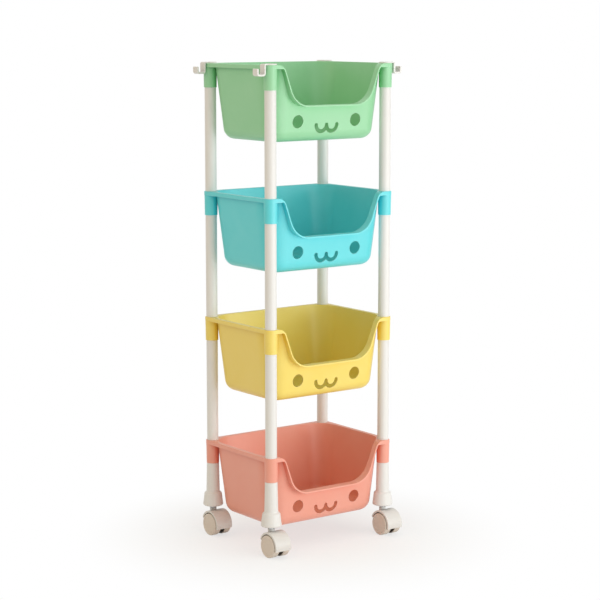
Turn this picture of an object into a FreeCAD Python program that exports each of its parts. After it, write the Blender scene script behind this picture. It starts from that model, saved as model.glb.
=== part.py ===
import FreeCAD, Part
import math
import os

import Sketcher

# Toy storage cart: four moulded baskets stacked on tube posts, with hooks on top and casters below.
# Millimetres, +Z up, front towards -Y, origin on the floor under the middle of the whole cart.

# Driving dimensions, one cell each in the sheet dims. Angles are in degrees.
SIZES = {
    # Tower
    "post_spacing_x": 294,
    "post_spacing_y": 214,
    "tier_pitch": 266,
    "basket_sink": 4,
    "foot_gap": 8.5,
    "cut_overrun": 10,
    # Posts and the sockets that hold them
    "post_diameter": 24,
    "post_wall": 2,
    "fit_gap": 0.15,
    "spigot_reach": 25,
    "spigot_lead": 1.2,
    "seat_depth": 4,
    "ledge": 3,
    "sleeve_length": 50,
    "sleeve_wall": 1.2,
    "sleeve_draft": 0.8,
    # Basket
    "basket_depth": 156,
    "basket_wall": 2.4,
    "basket_floor": 2.6,
    "wall_draft": 7,
    "wall_overhang": 7,
    "post_gap": 4.8,
    "bottom_radius": 24,
    "rim_margin": 0.3,
    "rim_plate": 3,
    "skirt_height": 8,
    "skirt_wall": 2.2,
    "rim_round": 1.2,
    "mouth_round": 0.8,
    # Scoop in the basket front
    "scoop_margin": 11,
    "scoop_depth": 82,
    "scoop_lean": 19.8,
    "knee_radius": 20,
    "bowl_radius": 46,
    # Face cut-outs
    "eye_diameter": 27,
    "eye_spacing": 147,
    "eye_margin": 30,
    "mouth_margin": 38,
    "mouth_radius": 13.2,
    "mouth_stroke": 8.6,
    # Feet
    "tube_step": 1,
    "step_gap": 0.3,
    "flare_diameter": 43,
    "shoulder_inset": 2.7,
    "flare_height": 25,
    "shoulder_rise": 7.3,
    "neck_step": 1.3,
    "foot_round": 3,
    "foot_wall": 2.4,
    "foot_boss_diameter": 16,
    "foot_web": 5,
    # Hooks
    "hook_plate": 2.5,
    "plate_margin": 1.5,
    "cap_round": 1,
    "plug_reach": 10,
    "strap_width": 16.5,
    "strap_thickness": 3.6,
    "strap_gap": 1.8,
    "strap_bend": 4,
    "strap_round": 1,
    "hook_opening": 13.6,
    "hook_tip": 4.2,
    "hook_drop": 16,
    "hook_bend": 6,
    "tip_rise": 7,
    # Caster stem and grip ring
    "stem_diameter": 8,
    "stem_length": 30,
    "stem_root": 12,
    "stem_gap": 0.25,
    "stem_lead": 1,
    "run_gap": 0.05,
    "collar_diameter": 11,
    "collar_thickness": 5,
    "swivel_gap": 0.3,
    "groove_depth": 0.7,
    "groove_margin": 5,
    "ring_height": 5,
    "ring_play": 0.1,
    "ring_slit": 40,
    # Caster wheels, axle and hood
    "wheel_diameter": 47,
    "wheel_width": 16.2,
    "wheel_gap": 9.6,
    "caster_trail": 14,
    "tread_round": 2.5,
    "tread_wall": 3.5,
    "hub_diameter": 13,
    "wheel_web": 4,
    "dish_margin": 2,
    "dish_depth": 0.7,
    "rib_thickness": 1.6,
    "rib_setback": 1.5,
    "axle_diameter": 6,
    "axle_cover": 2.5,
    "axle_lead": 0.6,
    "hood_setback": 1.7,
    "hood_gap": 2.2,
    "hood_wall": 3.8,
    "hood_round": 0.9,
    "hood_front_edge": 17.5,
    "hood_back_edge": 36,
    "web_gap": 0.5,
    "web_margin": 7,
    "boss_diameter": 14,
}
RIB_COUNT = 6
TIERS = ("green", "blue", "yellow", "coral")

# Derived sizes and places, one formula cell each in the sheet places.
PLACES = {
    # Posts and sockets
    "post_radius": "dims.post_diameter / 2",
    "tube_radius": "post_radius + dims.tube_step",
    "post_bore": "post_radius - dims.post_wall",
    "socket_radius": "post_radius + dims.fit_gap",
    "spigot_radius": "post_bore - dims.fit_gap",
    "spigot_bore": "spigot_radius - dims.post_wall",
    "spigot_hole": "spigot_radius + dims.fit_gap",
    "spigot_nose": "spigot_radius - dims.spigot_lead",
    "spigot_tip": "dims.ledge + dims.spigot_reach",
    "spigot_taper": "spigot_tip - dims.spigot_lead",
    "post_length": "dims.tier_pitch - dims.ledge",
    "ledge_bottom": "dims.seat_depth + dims.ledge",
    "socket_depth": "dims.sleeve_length - ledge_bottom",
    "sleeve_run": "dims.sleeve_length - dims.rim_plate",
    "sleeve_radius": "socket_radius + dims.sleeve_wall + sleeve_run * tan(dims.sleeve_draft)",
    "rim_overhang": "sleeve_radius + dims.rim_margin",
    # Tower
    "corner_x": "dims.post_spacing_x / 2",
    "corner_y": "dims.post_spacing_y / 2",
    "wheel_radius": "dims.wheel_diameter / 2",
    "hood_inner": "wheel_radius + dims.hood_gap",
    "hood_radius": "hood_inner + dims.hood_wall",
    "hood_top": "wheel_radius + hood_radius",
    "foot_height": "hood_top + dims.foot_gap",
    "flare_radius": "dims.flare_diameter / 2",
    "back_reach": "max(flare_radius; rim_overhang)",
    "frame_shift": "(dims.caster_trail + hood_radius - back_reach) / 2",
    "back_row": "frame_shift + corner_y",
    "front_row": "frame_shift - corner_y",
    "left_column": "-corner_x",
    "right_column": "corner_x",
    "rim_coral": "hood_top - dims.basket_sink + dims.basket_depth",
    "rim_yellow": "rim_coral + dims.tier_pitch",
    "rim_blue": "rim_yellow + dims.tier_pitch",
    "rim_green": "rim_blue + dims.tier_pitch",
    "seat_lower": "rim_coral - dims.seat_depth",
    "seat_middle": "rim_yellow - dims.seat_depth",
    "seat_upper": "rim_blue - dims.seat_depth",
    # Basket
    "rim_half_x": "corner_x + rim_overhang",
    "rim_half_y": "corner_y + rim_overhang",
    "skirt_half_x": "rim_half_x - dims.skirt_wall",
    "skirt_half_y": "rim_half_y - dims.skirt_wall",
    "skirt_radius": "rim_overhang - dims.skirt_wall",
    "wall_half_x": "corner_x + dims.wall_overhang",
    "wall_half_y": "corner_y + dims.wall_overhang",
    "wall_retreat": "dims.sleeve_length * tan(dims.wall_draft)",
    "corner_reach": "dims.post_gap + tube_radius + sqrt(2) * dims.wall_overhang - wall_retreat",
    "plan_radius": "corner_reach / (sqrt(2) - 1)",
    "wall_flat_x": "wall_half_x - plan_radius",
    "wall_flat_y": "wall_half_y - plan_radius",
    "cavity_half_x": "wall_half_x - dims.basket_wall",
    "cavity_half_y": "wall_half_y - dims.basket_wall",
    "cavity_radius": "plan_radius - dims.basket_wall",
    "cavity_depth": "dims.basket_depth - dims.basket_floor",
    "cavity_bottom": "dims.bottom_radius - dims.basket_wall",
    # Scoop curve: knee arc, leaning straight, bowl arc, level floor
    "scoop_half_width": "corner_x - dims.scoop_margin",
    "slope_drop": "dims.scoop_depth - (dims.knee_radius + dims.bowl_radius) * (1 - sin(dims.scoop_lean))",
    "knee_x": "scoop_half_width - dims.knee_radius * cos(dims.scoop_lean)",
    "knee_drop": "dims.knee_radius * (1 - sin(dims.scoop_lean))",
    "bowl_x": "knee_x - slope_drop * tan(dims.scoop_lean)",
    "bowl_drop": "knee_drop + slope_drop",
    "bowl_floor_x": "bowl_x - dims.bowl_radius * cos(dims.scoop_lean)",
    "lip_knee_radius": "dims.knee_radius - dims.rim_plate",
    "lip_bowl_radius": "dims.bowl_radius + dims.rim_plate",
    "lip_knee_x": "knee_x + dims.rim_plate * cos(dims.scoop_lean)",
    "lip_knee_drop": "knee_drop + dims.rim_plate * sin(dims.scoop_lean)",
    "lip_bowl_x": "bowl_x + dims.rim_plate * cos(dims.scoop_lean)",
    "lip_bowl_drop": "bowl_drop + dims.rim_plate * sin(dims.scoop_lean)",
    "lip_floor_drop": "dims.scoop_depth + dims.rim_plate",
    # Face
    "eye_radius": "dims.eye_diameter / 2",
    "eye_drop": "lip_floor_drop + dims.eye_margin",
    "eye_x": "dims.eye_spacing / 2",
    "mouth_drop": "lip_floor_drop + dims.mouth_margin",
    "mouth_half": "dims.mouth_stroke / 2",
    "mouth_outer": "dims.mouth_radius + mouth_half",
    "mouth_inner": "dims.mouth_radius - mouth_half",
    "mouth_end": "dims.mouth_radius + mouth_outer",
    "mouth_end_inner": "dims.mouth_radius + mouth_inner",
    "mouth_low": "mouth_drop + mouth_inner",
    "mouth_lowest": "mouth_drop + mouth_outer",
    "mouth_cusp": "mouth_drop + sqrt(pow(mouth_outer; 2) - pow(dims.mouth_radius; 2))",
    "mouth_cap": "mouth_drop - mouth_half",
    "mouth_cap_x": "2 * dims.mouth_radius",
    # Feet
    "shoulder_radius": "flare_radius - dims.shoulder_inset",
    "neck_radius": "tube_radius + dims.neck_step",
    "neck_height": "dims.flare_height + dims.shoulder_rise",
    "shoulder_step": "shoulder_radius - neck_radius",
    "shoulder_curve": "(pow(shoulder_step; 2) + pow(dims.shoulder_rise; 2)) / (4 * shoulder_step)",
    "shoulder_middle": "neck_radius + shoulder_step / 2",
    "shoulder_height": "dims.flare_height + dims.shoulder_rise / 2",
    "foot_edge": "flare_radius - dims.foot_round",
    "core_edge": "foot_edge - dims.foot_wall",
    "core_top": "shoulder_radius - dims.foot_wall",
    "core_height": "dims.flare_height - dims.foot_wall",
    "foot_boss": "dims.foot_boss_diameter / 2",
    "stem_radius": "dims.stem_diameter / 2",
    "stem_hole": "stem_radius + dims.stem_gap",
    "stem_seat": "stem_radius + dims.run_gap",
    "stem_hole_depth": "dims.stem_length + dims.stem_lead",
    "foot_floor": "stem_hole_depth + dims.foot_web",
    "foot_top": "rim_coral - ledge_bottom - foot_height",
    "foot_step": "foot_top - socket_depth - dims.step_gap",
    # Hooks
    "hook_plate_radius": "post_radius + dims.plate_margin",
    "cap_top": "hook_plate_radius - dims.cap_round",
    "cap_side": "dims.hook_plate - dims.cap_round",
    "plug_tip": "ledge_bottom + dims.plug_reach",
    "plug_taper": "plug_tip - dims.spigot_lead",
    "strap_in": "rim_overhang + dims.strap_gap",
    "strap_out": "strap_in + dims.strap_thickness",
    "strap_bend_x": "strap_out - dims.strap_bend",
    "strap_bend_drop": "dims.strap_bend - dims.hook_plate",
    "bend_inner": "dims.hook_bend - dims.strap_thickness",
    "hook_low": "dims.hook_drop + dims.hook_bend",
    "hook_floor": "dims.hook_drop + bend_inner",
    "strap_low_x": "strap_in + dims.hook_bend",
    "strap_floor_x": "strap_out + bend_inner",
    "tip_in": "strap_out + dims.hook_opening",
    "tip_out": "tip_in + dims.hook_tip",
    "tip_round": "dims.hook_tip / 2",
    "tip_x": "tip_in + tip_round",
    "tip_drop": "dims.hook_drop - dims.tip_rise",
    "tip_top": "tip_drop - tip_round",
    "tip_low_x": "tip_out - dims.hook_bend",
    "tip_floor_x": "tip_in - bend_inner",
    # Caster stem and ring, heights above the floor
    "collar_top": "foot_height - dims.swivel_gap",
    "boss_top": "collar_top - dims.collar_thickness",
    "stem_bottom": "boss_top - dims.stem_root",
    "stem_top": "foot_height + dims.stem_length",
    "stem_taper": "stem_top - dims.stem_lead",
    "stem_nose": "stem_radius - dims.stem_lead",
    "collar_radius": "dims.collar_diameter / 2",
    "groove_radius": "stem_radius - dims.groove_depth",
    "groove_top": "stem_top - dims.groove_margin",
    "ring_top": "groove_top - dims.ring_play",
    "ring_bottom": "ring_top - dims.ring_height",
    "groove_bottom": "ring_bottom - dims.ring_play",
    "ring_bore": "groove_radius + dims.run_gap",
    "ring_radius": "stem_hole - dims.run_gap",
    "ring_sweep": "360 - dims.ring_slit",
    # Caster wheels and axle
    "wheel_inner": "dims.wheel_gap / 2",
    "wheel_row_front": "front_row - dims.caster_trail",
    "wheel_row_back": "back_row - dims.caster_trail",
    "left_wheel_left": "left_column - wheel_inner",
    "right_wheel_left": "left_column + wheel_inner",
    "left_wheel_right": "right_column - wheel_inner",
    "right_wheel_right": "right_column + wheel_inner",
    "tread_edge": "wheel_radius - dims.tread_round",
    "tread_far": "dims.wheel_width - dims.tread_round",
    "rim_bore": "wheel_radius - dims.tread_wall",
    "hub_radius": "dims.hub_diameter / 2",
    "well_depth": "dims.wheel_width - dims.wheel_web",
    "dish_radius": "tread_edge - dims.dish_margin",
    "dish_face": "dims.wheel_width - dims.dish_depth",
    "dish_foot": "dish_radius - dims.dish_depth",
    "axle_radius": "dims.axle_diameter / 2",
    "axle_hole": "axle_radius + dims.run_gap",
    "axle_hole_depth": "dims.wheel_width - dims.axle_cover",
    "axle_length": "2 * (wheel_inner + axle_hole_depth - dims.swivel_gap)",
    "rib_root": "(axle_hole + hub_radius) / 2",
    "rib_top": "(rim_bore + wheel_radius) / 2",
    "rib_half": "dims.rib_thickness / 2",
    "rib_depth": "well_depth - dims.rib_setback",
    # Caster hood
    "hood_half": "wheel_inner + dims.wheel_width - dims.hood_setback",
    "hood_width": "2 * hood_half",
    "web_half": "wheel_inner - dims.web_gap",
    "well_run": "hood_half - web_half + dims.cut_overrun",
    "hood_front_fall": "wheel_radius - dims.hood_front_edge",
    "hood_front_reach": "dims.caster_trail + sqrt(pow(hood_radius; 2) - pow(hood_front_fall; 2))",
    "hood_back_rise": "dims.hood_back_edge - wheel_radius",
    "hood_back_reach": "sqrt(pow(hood_radius; 2) - pow(hood_back_rise; 2)) - dims.caster_trail",
    "web_front": "dims.caster_trail + dims.web_margin",
    "web_back": "dims.caster_trail - dims.web_margin",
    "web_low": "wheel_radius - dims.web_margin",
    "slot_top": "wheel_radius + sqrt(pow(hood_inner; 2) - pow(dims.web_margin; 2))",
    "slot_front": "dims.caster_trail + hood_inner",
    "boss_radius": "dims.boss_diameter / 2",
    "boss_base": "wheel_radius + boss_radius",
    "boss_height": "boss_top - boss_base",
}

doc = FreeCAD.newDocument("toy_storage_cart")


def fill_sheet(name, cells):
    """Make a spreadsheet with one named cell in each row."""
    sheet = doc.addObject("Spreadsheet::Sheet", name)
    for row, (alias, content) in enumerate(cells.items(), start=1):
        sheet.set(f"A{row}", alias)
        sheet.set(f"B{row}", content)
        sheet.setAlias(f"B{row}", alias)
    doc.recompute()
    return sheet


dims = fill_sheet("dims", {alias: str(number) for alias, number in SIZES.items()})
places = fill_sheet("places", {alias: f"={text}" for alias, text in PLACES.items()})


def formula(name):
    """Expression for a cell's name, with an optional leading minus."""
    alias = name.lstrip("-")
    sign = "-" if name.startswith("-") else ""
    sheet = "dims" if alias in SIZES else "places"
    return f"{sign}{sheet}.{alias}"


def size(name):
    """Number in a named cell, with an optional leading minus; no name gives zero."""
    if not name:
        return 0.0
    alias = name.lstrip("-")
    number = float(getattr(dims if alias in SIZES else places, alias))
    return -number if name.startswith("-") else number


def bind(target, path, name):
    target.setExpression(path, formula(name))


def new_body(label):
    body = doc.addObject("PartDesign::Body", label)
    body.Label = label
    return body


def sketch_on(body, name, role, offset=None):
    """Sketch on one of the body's own origin planes, moved along the plane's normal by a named size."""
    sketch = body.newObject("Sketcher::SketchObject", name)
    plane = next(item for item in body.Origin.OriginFeatures if item.Role == role)
    sketch.AttachmentSupport = [(plane, "")]
    sketch.MapMode = "FlatFace"
    if offset:
        bind(sketch, "AttachmentOffset.Base.z", offset)
    return sketch


def pin_point(sketch, geometry, end, x_name, y_name):
    """Hold one point of a curve at named coordinates; with no name it stays on the axis."""
    for kind, name, axis in (("DistanceX", x_name, -2), ("DistanceY", y_name, -1)):
        if not name:
            sketch.addConstraint(Sketcher.Constraint("PointOnObject", geometry, end, axis))
            continue
        held = Sketcher.Constraint(kind, -1, 1, geometry, end, size(name))
        bind(sketch, f"Constraints[{sketch.addConstraint(held)}]", name)


def hold_radius(sketch, geometry, name):
    held = Sketcher.Constraint("Radius", geometry, size(name))
    bind(sketch, f"Constraints[{sketch.addConstraint(held)}]", name)


def arc_between(start, end, radius, turn):
    """Arc of at most a half circle from start to end; turn is left or right along the way."""
    chord = end - start
    across = FreeCAD.Vector(-chord.y, chord.x, 0).normalize()
    rise = math.sqrt(max(radius**2 - (chord.Length / 2) ** 2, 0))
    centre = start + chord / 2 + across * (rise if turn == "left" else -rise)
    first, last = (start, end) if turn == "left" else (end, start)
    angles = [math.atan2(point.y - centre.y, point.x - centre.x) for point in (first, last)]
    return Part.ArcOfCircle(Part.Circle(centre, FreeCAD.Vector(0, 0, 1), radius), *angles)


def outline(sketch, corners):
    """Closed outline. A corner is (x, y), or (x, y, radius, turn) where an arc leads to the next one."""
    points = [FreeCAD.Vector(size(corner[0]), size(corner[1]), 0) for corner in corners]
    ends = []
    for index, corner in enumerate(corners):
        start = points[index]
        end = points[(index + 1) % len(points)]
        if len(corner) == 2:
            geometry = sketch.addGeometry(Part.LineSegment(start, end), False)
            ends.append((geometry, 1, 2))
            continue
        radius_name, turn = corner[2:]
        geometry = sketch.addGeometry(arc_between(start, end, size(radius_name), turn), False)
        ends.append((geometry, 1, 2) if turn == "left" else (geometry, 2, 1))
    for index, corner in enumerate(corners):
        geometry, first, _ = ends[index]
        before, _, last = ends[index - 1]
        sketch.addConstraint(Sketcher.Constraint("Coincident", before, last, geometry, first))
        pin_point(sketch, geometry, first, corner[0], corner[1])
        if len(corner) > 2:
            hold_radius(sketch, geometry, corner[2])


def circle(sketch, x_name, y_name, radius_name):
    centre = FreeCAD.Vector(size(x_name), size(y_name), 0)
    geometry = sketch.addGeometry(Part.Circle(centre, FreeCAD.Vector(0, 0, 1), size(radius_name)), False)
    pin_point(sketch, geometry, 3, x_name, y_name)
    hold_radius(sketch, geometry, radius_name)


def rounded_rectangle(sketch, half_x, half_y, flat_x, flat_y, radius):
    """Rectangle about the origin whose straight sides end at flat_x and flat_y."""
    outline(sketch, [
        (f"-{flat_x}", f"-{half_y}"),
        (flat_x, f"-{half_y}", radius, "left"),
        (half_x, f"-{flat_y}"),
        (half_x, flat_y, radius, "left"),
        (flat_x, half_y),
        (f"-{flat_x}", half_y, radius, "left"),
        (f"-{half_x}", flat_y),
        (f"-{half_x}", f"-{flat_y}", radius, "left"),
    ])


def pad(body, sketch, length, reverse=False, both_sides=False, taper=None):
    feature = body.newObject("PartDesign::Pad", f"{sketch.Name}_pad")
    feature.Profile = sketch
    bind(feature, "Length", length)
    feature.Reversed = reverse
    if both_sides:
        feature.SideType = "Symmetric"
    if taper:
        bind(feature, "TaperAngle", taper)
    return feature


def pocket(body, sketch, length=None, reverse=False, both_sides=False, taper=None):
    """Cut that has to remove something; with no length it goes right through."""
    doc.recompute()
    before = body.Shape.Volume
    feature = body.newObject("PartDesign::Pocket", f"{sketch.Name}_cut")
    feature.Profile = sketch
    if length:
        bind(feature, "Length", length)
    else:
        feature.Type = "ThroughAll"
    feature.Reversed = reverse
    if both_sides:
        feature.SideType = "Symmetric"
    if taper:
        bind(feature, "TaperAngle", taper)
    doc.recompute()
    if body.Shape.Volume >= before:
        raise RuntimeError(f"{feature.Name} removes nothing")


def revolve(body, sketch, axis="V_Axis", angle=None):
    feature = body.newObject("PartDesign::Revolution", f"{sketch.Name}_turn")
    feature.Profile = sketch
    feature.ReferenceAxis = (sketch, [axis])
    if angle:
        bind(feature, "Angle", angle)


def round_edges(body, chosen, radius, kind="Fillet"):
    """Fillet or chamfer each edge for which chosen(middle point, edge, faces beside it) holds."""
    doc.recompute()
    base = body.Tip
    names = []
    for number, edge in enumerate(base.Shape.Edges, start=1):
        middle = edge.valueAt((edge.FirstParameter + edge.LastParameter) / 2)
        if chosen(middle, edge, base.Shape.ancestorsOfType(edge, Part.Face)):
            names.append(f"Edge{number}")
    if not names:
        raise RuntimeError(f"no edge to round on {body.Label}")
    feature = body.newObject(f"PartDesign::{kind}", f"{body.Name}_{radius}")
    feature.Base = (base, names)
    bind(feature, "Radius" if kind == "Fillet" else "Size", radius)


# Two lengths count as one where they differ by less than this share of the basket's depth.
SAME_SHARE = 1e-6
# A face looks up where its normal climbs by more than this share.
CLIMB_SHARE = 0.1


def same(one, other):
    return abs(one - other) < SAME_SHARE * size("basket_depth")


def is_round(middle, edge, faces):
    return edge.Curve.TypeId == "Part::GeomCircle"


def is_level(edge, height):
    return same(edge.BoundBox.ZMin, height) and same(edge.BoundBox.ZMax, height)


def looks_up(faces, point):
    """True where one of the faces looks up at a point."""
    climbs = [face.normalAt(*face.Surface.parameter(point)).z for face in faces]
    return max(climbs) > CLIMB_SHARE


def beyond(point, flat_x, flat_y):
    """Distance of a point, seen from above, from the rectangle between the flats."""
    return math.hypot(max(abs(point.x) - size(flat_x), 0), max(abs(point.y) - size(flat_y), 0))


# Scoop curve and, one rim thickness below it, the lip's lower edge.
SCOOP_EDGE = ("knee_x", "knee_drop", "knee_radius", "bowl_x", "bowl_drop", "bowl_radius", "scoop_depth", None)
LIP_EDGE = ("lip_knee_x", "lip_knee_drop", "lip_knee_radius", "lip_bowl_x", "lip_bowl_drop",
            "lip_bowl_radius", "lip_floor_drop", "-rim_plate")
OTHER_TURN = {"left": "right", "right": "left"}
POST_PLACES = [(x, y) for x in ("-corner_x", "corner_x") for y in ("-corner_y", "corner_y")]


def scoop_curve(knee_x, knee_drop, knee_radius, bowl_x, bowl_drop, bowl_radius, floor_drop, top):
    """Corners of a scoop edge from its left end to its right end."""
    return [
        ("-scoop_half_width", top, knee_radius, "right"),
        (f"-{knee_x}", f"-{knee_drop}"),
        (f"-{bowl_x}", f"-{bowl_drop}", bowl_radius, "left"),
        ("-bowl_floor_x", f"-{floor_drop}"),
        ("bowl_floor_x", f"-{floor_drop}", bowl_radius, "left"),
        (bowl_x, f"-{bowl_drop}"),
        (knee_x, f"-{knee_drop}", knee_radius, "right"),
        ("scoop_half_width", top),
    ]


def backwards(corners):
    """The same open run of corners, walked the other way."""
    walked = []
    for index in range(len(corners) - 1, -1, -1):
        arc = corners[index - 1][2:] if index else ()
        walked.append(corners[index][:2] + ((arc[0], OTHER_TURN[arc[1]]) if arc else ()))
    return walked


def basket_tub(body):
    """Drafted tub with its rim plate and turned-down skirt, still solid."""
    sketch = sketch_on(body, "tub_outline", "XY_Plane")
    rounded_rectangle(sketch, "wall_half_x", "wall_half_y", "wall_flat_x", "wall_flat_y", "plan_radius")
    pad(body, sketch, "basket_depth", reverse=True, taper="-wall_draft")
    sketch = sketch_on(body, "rim_outline", "XY_Plane")
    rounded_rectangle(sketch, "rim_half_x", "rim_half_y", "corner_x", "corner_y", "rim_overhang")
    pad(body, sketch, "rim_plate", reverse=True)
    sketch = sketch_on(body, "skirt_outline", "XY_Plane")
    rounded_rectangle(sketch, "rim_half_x", "rim_half_y", "corner_x", "corner_y", "rim_overhang")
    rounded_rectangle(sketch, "skirt_half_x", "skirt_half_y", "corner_x", "corner_y", "skirt_radius")
    pad(body, sketch, "skirt_height", reverse=True)


def basket_scoop(body):
    """Cut the front down to the scoop curve and carry the rim on round it as a lip."""
    sketch = sketch_on(body, "scoop_outline", "XZ_Plane")
    above = [("scoop_half_width", "cut_overrun"), ("-scoop_half_width", "cut_overrun")]
    outline(sketch, scoop_curve(*SCOOP_EDGE) + above)
    pocket(body, sketch, reverse=True)
    sketch = sketch_on(body, "lip_outline", "XZ_Plane")
    outline(sketch, scoop_curve(*SCOOP_EDGE) + backwards(scoop_curve(*LIP_EDGE)))
    pad(body, sketch, "rim_half_y")

    def on_rim(middle, edge, faces):
        return same(beyond(middle, "corner_x", "corner_y"), size("rim_overhang")) and looks_up(faces, middle)

    round_edges(body, on_rim, "rim_round")


def basket_inside(body):
    """Hollow the tub and round its mouth and its bottom edge, inside and then outside."""
    sketch = sketch_on(body, "cavity_outline", "XY_Plane")
    rounded_rectangle(sketch, "cavity_half_x", "cavity_half_y", "wall_flat_x", "wall_flat_y", "cavity_radius")
    pocket(body, sketch, "cavity_depth", taper="-wall_draft")
    narrowing = math.tan(math.radians(size("wall_draft")))

    def on_mouth(middle, edge, faces):
        reach = size("cavity_radius") + middle.z * narrowing
        on_wall = same(beyond(middle, "wall_flat_x", "wall_flat_y"), reach)
        return on_wall and middle.z > -size("lip_floor_drop") and looks_up(faces, middle)

    round_edges(body, on_mouth, "mouth_round")
    round_edges(body, lambda middle, edge, faces: is_level(edge, -size("cavity_depth")), "cavity_bottom")
    round_edges(body, lambda middle, edge, faces: is_level(edge, -size("basket_depth")), "bottom_radius")


def post_circles(body, name, radius, offset=None):
    sketch = sketch_on(body, name, "XY_Plane", offset)
    for x_name, y_name in POST_PLACES:
        circle(sketch, x_name, y_name, radius)
    return sketch


def basket_sockets(body):
    """Corner sleeves: a seat for the post above, a ledge, and a deep socket for the post below."""
    pad(body, post_circles(body, "sleeve_rings", "sleeve_radius", "-rim_plate"), "sleeve_run",
        reverse=True, taper="-sleeve_draft")
    pocket(body, post_circles(body, "seat_rings", "socket_radius"), "seat_depth")
    pocket(body, post_circles(body, "ledge_rings", "spigot_hole"), "ledge_bottom")
    pocket(body, post_circles(body, "socket_rings", "socket_radius", "-sleeve_length"), "socket_depth",
           reverse=True)


def basket_face(body):
    """Two round holes and a double-bowed slot through the front wall."""
    sketch = sketch_on(body, "face_outline", "XZ_Plane")
    circle(sketch, "-eye_x", "-eye_drop", "eye_radius")
    circle(sketch, "eye_x", "-eye_drop", "eye_radius")
    outline(sketch, [
        ("-mouth_end", "-mouth_drop", "mouth_outer", "left"),
        ("-mouth_radius", "-mouth_lowest", "mouth_outer", "left"),
        (None, "-mouth_cusp", "mouth_outer", "left"),
        ("mouth_radius", "-mouth_lowest", "mouth_outer", "left"),
        ("mouth_end", "-mouth_drop", "mouth_half", "left"),
        ("mouth_cap_x", "-mouth_cap", "mouth_half", "left"),
        ("mouth_end_inner", "-mouth_drop", "mouth_inner", "right"),
        ("mouth_radius", "-mouth_low", "mouth_inner", "right"),
        ("mouth_half", "-mouth_drop", "mouth_half", "left"),
        (None, "-mouth_cap", "mouth_half", "left"),
        ("-mouth_half", "-mouth_drop", "mouth_inner", "right"),
        ("-mouth_radius", "-mouth_low", "mouth_inner", "right"),
        ("-mouth_end_inner", "-mouth_drop", "mouth_half", "left"),
        ("-mouth_cap_x", "-mouth_cap", "mouth_half", "left"),
    ])
    pocket(body, sketch, reverse=True)


def basket_pattern():
    """Moulded basket, with its rim's upper face at z = 0 and the posts about its middle."""
    body = new_body("basket_pattern")
    basket_tub(body)
    basket_scoop(body)
    basket_inside(body)
    basket_sockets(body)
    basket_face(body)
    return body


def post_pattern():
    """Tube with a necked spigot that reaches through the ledge into the tube below."""
    body = new_body("post_pattern")
    sketch = sketch_on(body, "post_half", "XZ_Plane")
    outline(sketch, [
        ("spigot_bore", "-spigot_tip"),
        ("spigot_nose", "-spigot_tip"),
        ("spigot_radius", "-spigot_taper"),
        ("spigot_radius", None),
        ("post_radius", None),
        ("post_radius", "post_length"),
        ("post_bore", "post_length"),
        ("post_bore", "post_wall"),
        ("spigot_bore", "post_wall"),
    ])
    revolve(body, sketch)
    return body


def foot_pattern():
    """Foot tube, stepped down to fit the socket, that widens to a cuff which holds the caster stem."""
    body = new_body("foot_pattern")
    sketch = sketch_on(body, "foot_half", "XZ_Plane")
    outline(sketch, [
        ("stem_hole", None),
        ("foot_boss", None),
        ("foot_boss", "core_height"),
        ("core_top", "core_height"),
        ("core_edge", None),
        ("foot_edge", None, "foot_round", "left"),
        ("flare_radius", "foot_round"),
        ("shoulder_radius", "flare_height", "shoulder_curve", "left"),
        ("shoulder_middle", "shoulder_height", "shoulder_curve", "right"),
        ("neck_radius", "neck_height"),
        ("tube_radius", "foot_step"),
        ("post_radius", "foot_step"),
        ("post_radius", "foot_top"),
        ("post_bore", "foot_top"),
        ("post_bore", "foot_floor"),
        (None, "foot_floor"),
        (None, "stem_hole_depth"),
        ("stem_hole", "stem_hole_depth"),
    ])
    revolve(body, sketch)
    return body


def hook_pattern():
    """Cap with a plug for the top socket and a J hook that hangs outside the rim, towards +X."""
    body = new_body("hook_pattern")
    sketch = sketch_on(body, "strap_outline", "XZ_Plane")
    outline(sketch, [
        (None, None),
        ("strap_in", None),
        ("strap_in", "-hook_drop", "hook_bend", "left"),
        ("strap_low_x", "-hook_low"),
        ("tip_low_x", "-hook_low", "hook_bend", "left"),
        ("tip_out", "-hook_drop"),
        ("tip_out", "-tip_drop", "tip_round", "left"),
        ("tip_x", "-tip_top", "tip_round", "left"),
        ("tip_in", "-tip_drop"),
        ("tip_in", "-hook_drop", "bend_inner", "right"),
        ("tip_floor_x", "-hook_floor"),
        ("strap_floor_x", "-hook_floor", "bend_inner", "right"),
        ("strap_out", "-hook_drop"),
        ("strap_out", "-strap_bend_drop", "strap_bend", "left"),
        ("strap_bend_x", "hook_plate"),
        (None, "hook_plate"),
    ])
    pad(body, sketch, "strap_width", both_sides=True)

    def on_side(middle, edge, faces):
        return same(edge.BoundBox.YMin, edge.BoundBox.YMax) and edge.BoundBox.XMax > size("strap_in")

    round_edges(body, on_side, "strap_round")
    sketch = sketch_on(body, "plug_half", "XZ_Plane")
    outline(sketch, [
        (None, None),
        ("spigot_bore", None),
        ("spigot_bore", "-plug_tip"),
        ("spigot_nose", "-plug_tip"),
        ("spigot_radius", "-plug_taper"),
        ("spigot_radius", "-seat_depth"),
        ("post_radius", "-seat_depth"),
        ("post_radius", None),
        ("hook_plate_radius", None),
        ("hook_plate_radius", "cap_side", "cap_round", "left"),
        ("cap_top", "hook_plate"),
        (None, "hook_plate"),
    ])
    revolve(body, sketch)
    return body


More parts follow.
